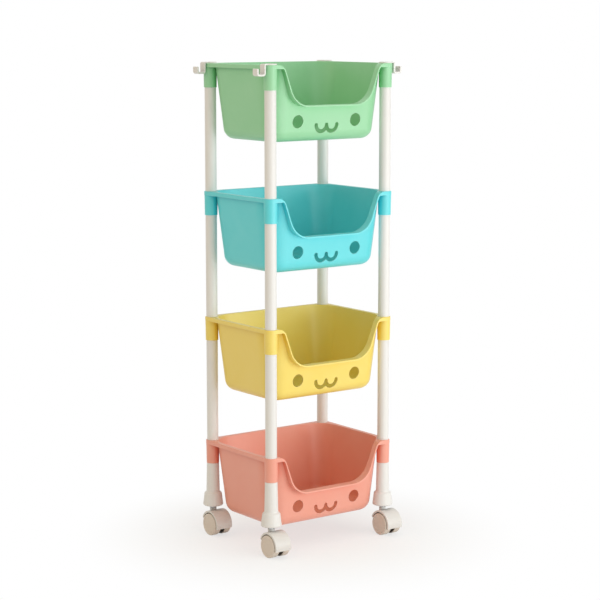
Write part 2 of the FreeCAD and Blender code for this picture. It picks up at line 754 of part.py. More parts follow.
def stem_pattern():
    """Steel pin with a collar that the foot rests on."""
    body = new_body("stem_pattern")
    sketch = sketch_on(body, "stem_half", "XZ_Plane")
    outline(sketch, [
        (None, "stem_bottom"),
        ("stem_radius", "stem_bottom"),
        ("stem_radius", "boss_top"),
        ("collar_radius", "boss_top"),
        ("collar_radius", "collar_top"),
        ("stem_radius", "collar_top"),
        ("stem_radius", "groove_bottom"),
        ("groove_radius", "groove_bottom"),
        ("groove_radius", "groove_top"),
        ("stem_radius", "groove_top"),
        ("stem_radius", "stem_taper"),
        ("stem_nose", "stem_top"),
        (None, "stem_top"),
    ])
    revolve(body, sketch)
    return body


def ring_pattern():
    """Split ring that sits in the stem's groove and grips the socket."""
    body = new_body("ring_pattern")
    sketch = sketch_on(body, "ring_half", "XZ_Plane")
    outline(sketch, [
        ("ring_bore", "ring_bottom"),
        ("ring_radius", "ring_bottom"),
        ("ring_radius", "ring_top"),
        ("ring_bore", "ring_top"),
    ])
    revolve(body, sketch, angle="ring_sweep")
    return body


def hood_pattern():
    """Fender over both wheels, on a middle web that carries the axle and the stem and is open in front."""
    body = new_body("hood_pattern")
    sketch = sketch_on(body, "hood_outline", "YZ_Plane")
    outline(sketch, [
        ("hood_back_reach", "hood_back_edge", "hood_radius", "left"),
        ("-caster_trail", "hood_top", "hood_radius", "left"),
        ("-hood_front_reach", "hood_front_edge"),
        ("-web_front", "web_low"),
        ("-web_back", "web_low"),
    ])
    pad(body, sketch, "hood_width", both_sides=True)
    round_edges(body, is_round, "hood_round")
    sketch = sketch_on(body, "boss_ring", "XY_Plane", "boss_base")
    circle(sketch, None, None, "boss_radius")
    pad(body, sketch, "boss_height")
    for side, offset in (("right", "web_half"), ("left", "-web_half")):
        sketch = sketch_on(body, f"{side}_well", "YZ_Plane", offset)
        circle(sketch, "-caster_trail", "wheel_radius", "hood_inner")
        pocket(body, sketch, "well_run", reverse=side == "right")
    sketch = sketch_on(body, "slot_outline", "YZ_Plane")
    outline(sketch, [
        ("-web_front", None),
        ("-web_front", "slot_top", "hood_inner", "left"),
        ("-slot_front", "wheel_radius"),
        ("-slot_front", None),
    ])
    pocket(body, sketch, both_sides=True)
    sketch = sketch_on(body, "stem_bore", "XY_Plane", "boss_top")
    circle(sketch, None, None, "stem_seat")
    pocket(body, sketch, "stem_root")
    sketch = sketch_on(body, "axle_bore", "YZ_Plane")
    circle(sketch, "-caster_trail", "wheel_radius", "axle_hole")
    pocket(body, sketch, both_sides=True)
    return body


def axle_pattern():
    body = new_body("axle_pattern")
    sketch = sketch_on(body, "axle_ring", "YZ_Plane")
    circle(sketch, None, None, "axle_radius")
    pad(body, sketch, "axle_length", both_sides=True)
    round_edges(body, is_round, "axle_lead", "Chamfer")
    return body


def wheel_pattern():
    """Wheel with a dished outer face towards +X, hollow behind and ribbed between hub and tread."""
    body = new_body("wheel_pattern")
    sketch = sketch_on(body, "wheel_half", "XZ_Plane")
    outline(sketch, [
        (None, "axle_hole"),
        (None, "hub_radius"),
        ("well_depth", "hub_radius"),
        ("well_depth", "rim_bore"),
        (None, "rim_bore"),
        (None, "tread_edge", "tread_round", "right"),
        ("tread_round", "wheel_radius"),
        ("tread_far", "wheel_radius", "tread_round", "right"),
        ("wheel_width", "tread_edge"),
        ("wheel_width", "dish_radius"),
        ("dish_face", "dish_foot"),
        ("dish_face", None),
        ("axle_hole_depth", None),
        ("axle_hole_depth", "axle_hole"),
    ])
    revolve(body, sketch, axis="H_Axis")
    sketch = sketch_on(body, "rib_outline", "YZ_Plane", "rib_setback")
    outline(sketch, [
        ("-rib_half", "rib_root"),
        ("rib_half", "rib_root"),
        ("rib_half", "rib_top"),
        ("-rib_half", "rib_top"),
    ])
    rib = pad(body, sketch, "rib_depth")
    ribs = body.newObject("PartDesign::PolarPattern", "ribs")
    ribs.Originals = [rib]
    ribs.Axis = (sketch, ["N_Axis"])
    ribs.Occurrences = RIB_COUNT
    body.Tip = ribs
    return body


def piece(pattern, label, x_name, y_name, z_name, half_turn=False):
    """One piece of the cart: a pattern's shape at named coordinates, turned round +Z by half if asked."""
    body = new_body(label)
    body.BaseFeature = pattern
    if half_turn:
        body.Placement.Rotation = FreeCAD.Rotation(FreeCAD.Vector(0, 0, 1), 180)
    for axis, name in (("x", x_name), ("y", y_name), ("z", z_name)):
        if name:
            bind(body, f"Placement.Base.{axis}", name)
    return body


def make_cart():
    """All pieces of the cart, each a body with the name of its node."""
    basket = basket_pattern()
    post = post_pattern()
    foot = foot_pattern()
    hook = hook_pattern()
    stem = stem_pattern()
    ring = ring_pattern()
    hood = hood_pattern()
    axle = axle_pattern()
    wheel = wheel_pattern()
    doc.recompute()
    pieces = [piece(basket, f"basket_{tier}", None, "frame_shift", f"rim_{tier}") for tier in TIERS]
    for row in ("front", "back"):
        y_name = f"{row}_row"
        wheel_y = f"wheel_row_{row}"
        for side in ("left", "right"):
            corner = f"{row}_{side}"
            x_name = f"{side}_column"
            for level in ("upper", "middle", "lower"):
                pieces.append(piece(post, f"post_{level}_{corner}", x_name, y_name, f"seat_{level}"))
            pieces.append(piece(foot, f"foot_{corner}", x_name, y_name, "foot_height"))
            pieces.append(piece(hook, f"hook_{corner}", x_name, y_name, "rim_green", side == "left"))
            pieces.append(piece(stem, f"caster_stem_{corner}", x_name, y_name, None))
            pieces.append(piece(ring, f"caster_ring_{corner}", x_name, y_name, None))
            pieces.append(piece(hood, f"caster_hood_{corner}", x_name, y_name, None))
            pieces.append(piece(axle, f"caster_axle_{corner}", x_name, wheel_y, "wheel_radius"))
            for end in ("left", "right"):
                pieces.append(piece(wheel, f"caster_wheel_{end}_{corner}", f"{end}_wheel_{side}", wheel_y,
                                    "wheel_radius", end == "left"))
    doc.recompute()
    return pieces


def check(pieces):
    """Stop on any failed object or bad shape."""
    for item in doc.Objects:
        if "Invalid" in item.State or "Error" in item.State:
            raise RuntimeError(f"{item.Name} failed: {item.State}")
    for body in pieces:
        if body.Shape.isNull() or not body.Shape.isValid() or len(body.Shape.Solids) != 1:
            raise RuntimeError(f"{body.Label} has a bad shape")


cart = make_cart()
check(cart)
os.makedirs("parts", exist_ok=True)
for item in cart:
    item.Shape.exportStep(f"parts/{item.Label}.step")
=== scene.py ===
import math
from typing import NamedTuple

import bmesh
import bpy
from bpy.props import FloatProperty, FloatVectorProperty, IntProperty, PointerProperty
from mathutils import Matrix, Vector


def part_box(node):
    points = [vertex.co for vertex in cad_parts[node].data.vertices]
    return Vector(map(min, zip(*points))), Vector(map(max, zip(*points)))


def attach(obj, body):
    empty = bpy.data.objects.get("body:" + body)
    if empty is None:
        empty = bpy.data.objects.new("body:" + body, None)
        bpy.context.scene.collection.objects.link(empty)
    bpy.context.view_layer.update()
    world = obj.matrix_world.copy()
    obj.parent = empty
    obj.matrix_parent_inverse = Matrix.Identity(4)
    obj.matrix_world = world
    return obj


# Toy storage cart: finishes and moulding marks on the framed cart, and a pale studio round it.

bl_info = {
    "name": "Toy Storage Cart",
    "version": (1, 0, 0),
    "blender": (4, 5, 0),
    "location": "View3D > Sidebar > Toy Cart",
    "description": "Gives a framed toy storage cart its plastics, steel, moulding marks and studio",
    "category": "Object",
}

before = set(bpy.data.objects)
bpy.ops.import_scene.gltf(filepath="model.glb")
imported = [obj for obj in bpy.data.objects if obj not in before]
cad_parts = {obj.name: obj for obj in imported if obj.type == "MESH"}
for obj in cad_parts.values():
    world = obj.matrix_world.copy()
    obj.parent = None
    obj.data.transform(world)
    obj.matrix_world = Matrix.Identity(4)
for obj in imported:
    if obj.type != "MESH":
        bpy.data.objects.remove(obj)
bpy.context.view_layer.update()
TIERS = ("green", "blue", "yellow", "coral")
CORNERS = ("front_left", "front_right", "back_left", "back_right")
LAMPS = ("key_lamp", "fill_lamp", "top_lamp")
WHITE = (1.0, 1.0, 1.0)
PLASTIC_IOR = 1.49
CLOUD_DETAIL = 4

# Painted shade in a caster's slot: where it ends sideways, as a share of half the gap between the wheels,
# and where it fades out under the hood, as shares of the wheel's radius.
SLOT_END_SHARE = 1.3
HOOD_START_SHARE = 1.07
HOOD_END_SHARE = 1.12
SLOT_SHADE_POWER = 3

# Dust on a wheel's tread: where the tread starts, as a share of the wheel's radius, and how much lies there.
TREAD_START_SHARE = 0.93
TREAD_DUST = 0.35
TREAD_DUST_CLOUDS = 0.9


class PlasticLook(NamedTuple):
    """How a plastic varies over its surface.

    A power deepens the colour and a white pales it. A size or width is a share of the finish's own.
    Painted shade in hollows goes from its start share, all deep, to its end share, all open.
    Each rough value adds to the roughness where its mark shows, and wear_polish takes from it along edges.
    """

    patch_power: float
    patch_white: float
    painted_shade_power: float
    painted_shade_start: float
    painted_shade_end: float
    wear: float
    wear_highlight_white: float
    grain: float
    roughness: float
    cloud_rough: float
    cloud_twist: float
    cloud_size: float = 1
    painted_shade_size: float = 1
    edge_width: float = 1
    scratch_size: float = 1
    scratch: float = 0
    scratch_rough: float = 0
    dust: float = 0
    dust_rough: float = 0
    streak_rough: float = 0
    wear_polish: float = 0


BASKET_LOOK = PlasticLook(
    patch_power=1.12, patch_white=0.05, painted_shade_power=1.45, painted_shade_start=0.25, painted_shade_end=0.95,
    wear=0.4, wear_highlight_white=0.45, wear_polish=0.10, scratch=0.05, scratch_rough=0.08,
    grain=0.35, roughness=0.32, cloud_rough=0.10, cloud_twist=0.6)
TUBE_LOOK = PlasticLook(
    patch_power=1.15, patch_white=0.12, painted_shade_power=1.5, painted_shade_start=0.2, painted_shade_end=0.9, painted_shade_size=1 / 3,
    wear=0.5, wear_highlight_white=0.5, dust=0.35, dust_rough=0.25, streak_rough=0.10,
    grain=0.25, roughness=0.30, cloud_rough=0.08, cloud_twist=0.6)
WHEEL_LOOK = PlasticLook(
    patch_power=1.12, patch_white=0.12, painted_shade_power=1.9, painted_shade_start=0.2, painted_shade_end=0.9, painted_shade_size=1 / 3,
    wear=0.3, wear_highlight_white=0.5, edge_width=1 / 2, dust=0.28, dust_rough=0.3,
    scratch=0.05, scratch_rough=0.1, scratch_size=1 / 3,
    grain=0.2, roughness=0.26, cloud_rough=0.08, cloud_twist=0.8, cloud_size=1 / 4)


class SteelLook(NamedTuple):
    """How plated steel varies over its surface, in the same terms as a plastic."""

    bloom_power: float
    bloom_white: float
    bloom_rough: float
    bloom_size: float
    ring_rough: float
    ring_strength: float
    roughness: float


STEEL_LOOK = SteelLook(
    bloom_power=1.25, bloom_white=0.15, bloom_rough=0.12, bloom_size=1 / 2,
    ring_rough=0.14, ring_strength=0.3, roughness=0.24)


def colour_property(name, description, default):
    return FloatVectorProperty(name=name, description=description, subtype="COLOR", size=3, min=0, max=1,
                               default=default)


def length_property(name, description, default):
    return FloatProperty(name=name, description=description, unit="LENGTH", min=0, default=default)


def angle_property(name, description, degrees):
    return FloatProperty(name=name, description=description, subtype="ANGLE", default=math.radians(degrees))


def share_property(name, description, default):
    return FloatProperty(name=name, description=description, subtype="FACTOR", min=0, max=1, default=default)


def lamp_properties(turn, distance, height, face_width, face_height, power, colour):
    """What can be set on a soft rectangular lamp."""
    return {
        "turn": angle_property("Turn", "Turn round the cart from its front, negative to its left", turn),
        "distance": length_property("Distance", "Level distance from the cart's middle", distance),
        "height": length_property("Height", "Height above the floor", height),
        "face_width": length_property("Face width", "Width of the lamp's face", face_width),
        "face_height": length_property("Face height", "Height of the lamp's face", face_height),
        "power": FloatProperty(name="Power", description="Light that it gives", unit="POWER", default=power),
        "colour": colour_property("Colour", "Colour of its light", colour),
    }


class CartColours(bpy.types.PropertyGroup):
    """Colours of the cart's materials."""

    green: colour_property("Green", "Plastic of the top basket", (0.33, 0.69, 0.40))
    blue: colour_property("Blue", "Plastic of the second basket", (0.13, 0.72, 0.79))
    yellow: colour_property("Yellow", "Plastic of the third basket", (0.89, 0.71, 0.16))
    coral: colour_property("Coral", "Plastic of the lowest basket", (0.86, 0.38, 0.29))
    white: colour_property("White", "Plastic of the posts, feet and hooks", (0.79, 0.79, 0.78))
    hood: colour_property("Hood white", "Plastic of the caster hoods", (0.75, 0.745, 0.73))
    wheel: colour_property("Wheel", "Plastic of the caster wheels", (0.70, 0.62, 0.54))
    steel: colour_property("Steel", "Plated steel of the caster stems, rings and axles", (0.60, 0.61, 0.62))
    dust: colour_property("Dust", "Floor dust on feet, hoods and treads", (0.42, 0.37, 0.31))


class CartFinish(bpy.types.PropertyGroup):
    """Scale of the surface detail."""

    grain_size: length_property("Grain", "Distance between pits of the moulded grain", 0.0011)
    cloud_size: length_property("Clouds", "Distance between paler and deeper patches of the plastic", 0.07)
    streak_size: length_property("Streaks", "Distance between draw streaks along a post", 0.0024)
    scratch_size: length_property("Scratches", "Distance between handling scratches", 0.012)
    # Edges are paled as rubbed wear and, partly, as a painted highlight along rims.
    edge_width: length_property("Edge wear", "Width of the rubbed band along edges", 0.0022)
    # Painted shade: corners of a piece are darkened to a fuller colour over this depth.
    painted_shade_size: length_property("Hollows", "Depth over which a corner looks deeper in colour", 0.045)
    dust_height: length_property("Dust height", "Height above the floor that dust reaches", 0.075)
    grain_depth: length_property("Grain depth", "Depth of the moulded grain", 0.00012)


class CartMarks(bpy.types.PropertyGroup):
    """Moulding marks under the baskets."""

    gate_radius: length_property("Gate", "Radius of the moulding gate under a basket", 0.006)
    gate_height: length_property("Gate height", "How far the gate's stub stands down", 0.0012)
    pin_radius: length_property("Pin", "Radius of an ejector pin's ring", 0.005)
    pin_height: length_property("Pin height", "How far an ejector pin's ring stands down", 0.0004)
    pin_count: IntProperty(name="Pins", description="Ejector pin rings along each side", min=2, default=3)
    pin_inset: length_property("Pin inset", "Distance of the pin rings from the basket's outer edge", 0.062)
    rim_share: share_property("Rim", "Width of a mark's rim as a share of its radius", 0.25)
    slope_share: share_property("Slope", "Width of the step inside the rim as a share of its radius", 0.1)
    sink_share: share_property("Sink", "Depth of a mark's middle as a share of its height", 0.5)


class CartStage(bpy.types.PropertyGroup):
    """Camera, floor and light from all round."""

    view_turn: angle_property("View turn", "Camera's turn round the cart, negative to its left", -36.47)
    view_pitch: angle_property("View pitch", "How far the camera looks down", 8.54)
    view_aim: angle_property("View aim", "Camera's turn away from the posts' middle", -0.067)
    view_distance: length_property("View distance", "Level distance from camera to posts' middle", 3.914)
    view_rise: length_property("View rise", "Camera's height above the top rim", 0.0903)
    view_reach: length_property("View reach", "How far the camera sees", 36.0)
    lens: FloatProperty(name="Lens", description="Focal length", subtype="DISTANCE_CAMERA", default=112.3)
    floor_radius: length_property("Floor", "Radius of the floor", 9.0)
    fade_start: length_property("Fade start", "Distance at which the floor starts to fade to white", 0.12)
    fade_end: length_property("Fade end", "Distance at which the floor is white", 0.5)
    shadow_share: share_property("Shadow", "Share of the floor's shadow that shows", 0.38)
    paper: colour_property("Paper", "Colour of the floor's paper", (0.92, 0.92, 0.92))
    air: FloatProperty(name="Air", description="Light from all round", min=0, default=0.58)
    air_colour: colour_property("Air colour", "Colour of the light from all round", (1.0, 0.93, 0.82))


class CartKeyLamp(bpy.types.PropertyGroup):
    """Low soft lamp in front."""

    __annotations__ = lamp_properties(turn=16, distance=2.4, height=0.6, face_width=2.6, face_height=1.2,
                                      power=31, colour=(0.96, 0.985, 1.0))


class CartFillLamp(bpy.types.PropertyGroup):
    """Warm soft lamp at the left."""

    __annotations__ = lamp_properties(turn=-96, distance=2.6, height=2.4, face_width=2.4, face_height=2.0,
                                      power=13, colour=(1.0, 0.74, 0.40))


class CartTopLamp(bpy.types.PropertyGroup):
    """Soft lamp overhead."""

    __annotations__ = lamp_properties(turn=10, distance=0.8, height=3.4, face_width=2.0, face_height=2.0,
                                      power=12, colour=WHITE)


class CartSettings(bpy.types.PropertyGroup):
    """Everything that can be set on the cart and its studio."""

    colours: PointerProperty(type=CartColours)
    finish: PointerProperty(type=CartFinish)
    marks: PointerProperty(type=CartMarks)
    stage: PointerProperty(type=CartStage)
    key_lamp: PointerProperty(type=CartKeyLamp)
    fill_lamp: PointerProperty(type=CartFillLamp)
    top_lamp: PointerProperty(type=CartTopLamp)


class Wire:
    """An output of a node. Arithmetic on it adds Math nodes, and node() adds any other node."""

    def __init__(self, tree, socket=None):
        self.tree = tree
        self.socket = socket

    def node(self, kind, inputs, output=0, **settings):
        """Add a node, set it up, then give its inputs their values or links."""
        made = self.tree.nodes.new(kind)
        for name, value in settings.items():
            setattr(made, name, value)
        for key, value in inputs.items():
            if isinstance(value, Wire):
                self.tree.links.new(value.socket, made.inputs[key])
            elif isinstance(value, (tuple, list)) and made.inputs[key].type == "RGBA":
                made.inputs[key].default_value = (*value, 1)
            else:
                made.inputs[key].default_value = value
        return Wire(self.tree, made.outputs[output] if made.outputs else None)

    def math(self, operation, first, second):
        return self.node("ShaderNodeMath", {0: first, 1: second}, operation=operation)

    def __add__(self, other):
        return self.math("ADD", self, other)

    def __sub__(self, other):
        return self.math("SUBTRACT", self, other)

    def __rsub__(self, other):
        return self.math("SUBTRACT", other, self)

    def __mul__(self, other):
        return self.math("MULTIPLY", self, other)

    __radd__ = __add__
    __rmul__ = __mul__


class Caster:
    """Where a caster's two wheels stand: their middle, their radius and half the gap between them."""

    def __init__(self, corner):
        left_low, left_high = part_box(f"caster_wheel_left_{corner}")
        right_low, right_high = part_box(f"caster_wheel_right_{corner}")
        self.middle = (left_low + right_high) / 2
        self.radius = (left_high.z - left_low.z) / 2
        self.half_gap = (right_low.x - left_high.x) / 2


def new_material(name):
    material = bpy.data.materials.new(name)
    material.use_nodes = True
    material.node_tree.nodes.clear()
    return material, Wire(material.node_tree)


def blend(factor, first, second):
    """Colour between two colours; each is a wire or three numbers."""
    return factor.node("ShaderNodeMix", {0: factor, 6: first, 7: second}, output=2, data_type="RGBA")


def between(value, low, high):
    """How far a value has come from low to high, kept from 0 to 1 and eased at both ends."""
    return value.node("ShaderNodeMapRange", {"Value": value, "From Min": low, "From Max": high},
                      interpolation_type="SMOOTHSTEP")


def length(vector):
    return vector.node("ShaderNodeVectorMath", {0: vector}, output="Value", operation="LENGTH")


def object_place(start):
    return start.node("ShaderNodeTexCoord", {}, output="Object")


def moved(place, stretch=(1, 1, 1), shift=(0, 0, 0), turn=(0, 0, 0)):
    inputs = {"Vector": place, "Scale": stretch, "Location": shift, "Rotation": turn}
    return place.node("ShaderNodeMapping", inputs)


def noise(place, size, detail=2.0, distortion=0.0):
    """Noise from 0 to 1 whose patches lie about one size apart."""
    inputs = {"Vector": place, "Scale": 1 / size, "Detail": detail, "Distortion": distortion}
    return place.node("ShaderNodeTexNoise", inputs)


def cloudy(place, finish, look):
    """Soft patches of a plastic, from 0 where it is deep to 1 where it is pale."""
    return noise(place, finish.cloud_size * look.cloud_size, CLOUD_DETAIL, look.cloud_twist)


# Mask for paling edges both as rubbed wear and as a painted highlight along rims and lips.
def edge_wear_and_highlight(start, width):
    """1 on sharp edges, falling to 0 on flat stretches."""
    rounded = start.node("ShaderNodeBevel", {"Radius": width}, samples=4)
    true = start.node("ShaderNodeNewGeometry", {}, output="Normal")
    agreement = start.node("ShaderNodeVectorMath", {0: rounded, 1: true}, output="Value",
                           operation="DOT_PRODUCT")
    return between(1 - agreement, low=0.02, high=0.3)


# Ambient occlusion mask; it drives the painted shade in hollows.
def open_air(start, depth):
    """1 on open stretches, falling to 0 deep in a corner of the same piece."""
    return start.node("ShaderNodeAmbientOcclusion", {"Distance": depth}, output="AO", samples=8,
                      only_local=True)


def scratches(place, size):
    """Fine crossing scratches, 1 in a scratch and 0 beside it."""
    across = noise(moved(place, stretch=(1, 1, 14), turn=(0.5, 0.3, 0)), size, detail=3)
    along = noise(moved(place, stretch=(11, 1, 1), turn=(0, 0.6, 0.4)), size, detail=3)
    return between(across, low=0.68, high=0.74) + between(along, low=0.69, high=0.75)


def bump(height, finish, strength):
    inputs = {"Height": height, "Strength": strength, "Distance": finish.grain_depth}
    return height.node("ShaderNodeBump", inputs)


def grain_bump(place, finish, strength):
    return bump(noise(place, finish.grain_size, detail=3), finish, strength)


def shade(start, inputs):
    shader = start.node("ShaderNodeBsdfPrincipled", inputs)
    start.node("ShaderNodeOutputMaterial", {"Surface": shader})


def axle_reach(place, caster):
    """Distance from the line of a caster's axle."""
    return length(moved(place, stretch=(0, 1, 1), shift=(0, -caster.middle.y, -caster.middle.z)))


def slot_painted_shade(place, caster, reach):
    """Painted shade mask: 1 in the slot between a caster's wheels, up to the hood's inner face, and 0
    elsewhere.
    """
    aside = length(moved(place, stretch=(1, 0, 0), shift=(-caster.middle.x, 0, 0)))
    inside = 1 - between(aside, caster.half_gap, caster.half_gap * SLOT_END_SHARE)
    return inside * (1 - between(reach, caster.radius * HOOD_START_SHARE, caster.radius * HOOD_END_SHARE))


def deeper(colour, power):
    """The same colour, darker and fuller, as a thick or shaded plastic shows it."""
    return tuple(channel**power for channel in colour)


def paler(colour, share):
    return tuple(channel + (1 - channel) * share for channel in colour)


def patchy_body_with_painted_shade(start, colour, finish, look, patches):
    """Colour that goes from deep to pale with the patches, with painted shade in hollows: fuller and darker
    deep in corners.
    """
    body = blend(patches, deeper(colour, look.patch_power), paler(colour, look.patch_white))
    # Painted shade: the colour is darkened and made fuller deep in corners and hollows.
    openness = open_air(start, finish.painted_shade_size * look.painted_shade_size)
    openness = between(openness, look.painted_shade_start, look.painted_shade_end)
    return blend(openness, deeper(colour, look.painted_shade_power), body)


def shade_plastic(start, place, finish, look, body, rough):
    shade(start, {
        "Base Color": body,
        "Roughness": rough,
        "IOR": PLASTIC_IOR,
        "Normal": grain_bump(place, finish, look.grain),
    })


def moulded_plastic(name, colour, finish):
    """Satin plastic: cloudy colour, painted shade in corners, pale edges of wear and painted highlight, faint
    grain.
    """
    look = BASKET_LOOK
    material, start = new_material(name)
    place = object_place(start)
    clouds = cloudy(place, finish, look)
    wear = edge_wear_and_highlight(start, finish.edge_width * look.edge_width)
    marks = scratches(place, finish.scratch_size * look.scratch_size)
    body = patchy_body_with_painted_shade(start, colour, finish, look, clouds)
    # Wear and painted highlight: sharp edges are paled.
    body = blend(wear * look.wear + marks * look.scratch, body, paler(colour, look.wear_highlight_white))
    rough = look.roughness + clouds * look.cloud_rough - wear * look.wear_polish + marks * look.scratch_rough
    shade_plastic(start, place, finish, look, body, rough)
    return material


def tube_plastic(name, colour, cart, caster=None):
    """White plastic: streaks along the tube, dust towards the floor, painted shade in hollows and a caster's
    slot.
    """
    finish = cart.finish
    dust_colour = tuple(cart.colours.dust)
    look = TUBE_LOOK
    material, start = new_material(name)
    place = object_place(start)
    streaks = noise(moved(place, stretch=(1, 1, 0.02)), finish.streak_size, detail=3)
    clouds = cloudy(place, finish, look)
    height = start.node("ShaderNodeSeparateXYZ", {"Vector": place}, output="Z")
    dust = (1 - between(height, 0, finish.dust_height)) * clouds
    wear = edge_wear_and_highlight(start, finish.edge_width * look.edge_width)
    body = patchy_body_with_painted_shade(start, colour, finish, look, streaks)
    # Wear and painted highlight: sharp edges are paled.
    body = blend(wear * look.wear, body, paler(colour, look.wear_highlight_white))
    body = blend(dust * look.dust, body, dust_colour)
    if caster:
        # Painted shade: the slot between the wheels is darkened to a deep dust colour.
        slot_shade = slot_painted_shade(place, caster, axle_reach(place, caster))
        body = blend(slot_shade, body, deeper(dust_colour, SLOT_SHADE_POWER))
    rough = look.roughness + clouds * look.cloud_rough + streaks * look.streak_rough + dust * look.dust_rough
    shade_plastic(start, place, finish, look, body, rough)
    return material


def wheel_plastic(name, colour, cart, caster):
    """Glossy wheel plastic, scuffed and dusty on the tread, with painted shade in hollows and in the wheels'
    slot.
    """
    finish = cart.finish
    dust_colour = tuple(cart.colours.dust)
    look = WHEEL_LOOK
    material, start = new_material(name)
    place = object_place(start)
    reach = axle_reach(place, caster)
    clouds = cloudy(place, finish, look)
    tread = between(reach, caster.radius * TREAD_START_SHARE, caster.radius)
    dust = tread * (TREAD_DUST + clouds * TREAD_DUST_CLOUDS)
    wear = edge_wear_and_highlight(start, finish.edge_width * look.edge_width)
    marks = scratches(place, finish.scratch_size * look.scratch_size)
    body = patchy_body_with_painted_shade(start, colour, finish, look, clouds)
    # Wear and painted highlight: sharp edges are paled.
    body = blend(wear * look.wear, body, paler(colour, look.wear_highlight_white))
    body = blend(dust * look.dust + marks * look.scratch, body, dust_colour)
    # Painted shade: the slot between the wheels is darkened to a deep dust colour.
    body = blend(slot_painted_shade(place, caster, reach), body, deeper(dust_colour, SLOT_SHADE_POWER))
    rough = look.roughness + clouds * look.cloud_rough + dust * look.dust_rough + marks * look.scratch_rough
    shade_plastic(start, place, finish, look, body, rough)
    return material


def plated_steel(name, colour, finish):
    """Plated steel with turning lines round the stem."""
    look = STEEL_LOOK
    material, start = new_material(name)
    place = object_place(start)
    rings = noise(moved(place, stretch=(0.03, 0.03, 1)), finish.grain_size, detail=2)
    bloom = noise(place, finish.scratch_size * look.bloom_size, detail=4)
    shade(start, {
        "Base Color": blend(bloom, deeper(colour, look.bloom_power), paler(colour, look.bloom_white)),
        "Metallic": 1.0,
        "Roughness": look.roughness + rings * look.ring_rough + bloom * look.bloom_rough,
        "Normal": bump(rings, finish, look.ring_strength),
    })
    return material


def dress(node, material):
    """Give a framed node its material."""
    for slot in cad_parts[node].material_slots:
        slot.material = material


def add_piece(name, shape, material, body):
    """Turn a bmesh into a piece that rides on a body."""
    mesh = bpy.data.meshes.new(name)
    bmesh.ops.recalc_face_normals(shape, faces=shape.faces)
    shape.to_mesh(mesh)
    shape.free()
    mesh.materials.append(material)
    piece = bpy.data.objects.new(name, mesh)
    bpy.context.scene.collection.objects.link(piece)
    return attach(piece, body)


class CartOperator:
    """What the cart's operators share."""

    bl_options = {"REGISTER", "UNDO"}

    @property
    def cart(self):
        return bpy.context.scene.cart


class CART_OT_baskets(CartOperator, bpy.types.Operator):
    """Give each basket its coloured plastic and the marks of its mould"""

    bl_idname = "cart.baskets"
    bl_label = "Baskets"

    def execute(self, context):
        for tier in TIERS:
            colour = tuple(getattr(self.cart.colours, tier))
            material = moulded_plastic(f"plastic_{tier}_moulded", colour, self.cart.finish)
            dress(f"basket_{tier}", material)
            add_piece(f"mould_marks_{tier}", self.mould_marks(tier), material, "tower")
        return {"FINISHED"}

    def mould_marks(self, tier):
        """The gate's stub in the middle of the basket's underside, with rows of ejector pin rings."""
        marks = self.cart.marks
        low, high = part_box(f"basket_{tier}")
        middle = (low + high) / 2
        shape = bmesh.new()
        self.stub(shape, Vector((middle.x, middle.y, low.z)), marks.gate_radius, marks.gate_height)
        reach = (high - low) / 2
        for row in (-1, 1):
            for index in range(marks.pin_count):
                across = 2 * index / (marks.pin_count - 1) - 1
                spot = Vector((across * (reach.x - marks.pin_inset), row * (reach.y - marks.pin_inset), 0))
                spot += Vector((middle.x, middle.y, low.z))
                self.stub(shape, spot, marks.pin_radius, marks.pin_height)
        bmesh.ops.holes_fill(shape, edges=[edge for edge in shape.edges if edge.is_boundary])
        return shape

    def stub(self, shape, spot, radius, height):
        """A low ring with a sunken middle that hangs down from a spot."""
        marks = self.cart.marks
        made = bmesh.ops.create_circle(shape, cap_ends=True, segments=32, radius=radius,
                                       matrix=Matrix.Translation(spot))
        face = self.pushed(shape, made["verts"][0].link_faces[0], -height)
        for share in (marks.rim_share, marks.slope_share):
            bmesh.ops.inset_region(shape, faces=[face], thickness=radius * share)
        self.pushed(shape, face, height * marks.sink_share)

    def pushed(self, shape, face, rise):
        """Extrude a level face by a rise and give the face at the far end."""
        grown = bmesh.ops.extrude_discrete_faces(shape, faces=[face])
        bmesh.ops.translate(shape, verts=grown["faces"][0].verts, vec=(0, 0, rise))
        return grown["faces"][0]


class CART_OT_posts(CartOperator, bpy.types.Operator):
    """Give posts, feet and hooks their white plastic"""

    bl_idname = "cart.posts"
    bl_label = "Posts, feet and hooks"

    def execute(self, context):
        material = tube_plastic("plastic_white_drawn", tuple(self.cart.colours.white), self.cart)
        for corner in CORNERS:
            for kind in ("post_upper", "post_middle", "post_lower", "foot", "hook"):
                dress(f"{kind}_{corner}", material)
        return {"FINISHED"}


class CART_OT_casters(CartOperator, bpy.types.Operator):
    """Give the casters their hood and wheel plastic and their steel"""

    bl_idname = "cart.casters"
    bl_label = "Casters"

    def execute(self, context):
        colours = self.cart.colours
        steel = plated_steel("steel_plated", tuple(colours.steel), self.cart.finish)
        for corner in CORNERS:
            caster = Caster(corner)
            hood = tube_plastic(f"caster_hood_plastic_{corner}", tuple(colours.hood), self.cart, caster)
            dress(f"caster_hood_{corner}", hood)
            for kind in ("caster_stem", "caster_ring", "caster_axle"):
                dress(f"{kind}_{corner}", steel)
            wheel = wheel_plastic(f"caster_wheel_plastic_{corner}", tuple(colours.wheel), self.cart, caster)
            for end in ("left", "right"):
                dress(f"caster_wheel_{end}_{corner}", wheel)
        return {"FINISHED"}


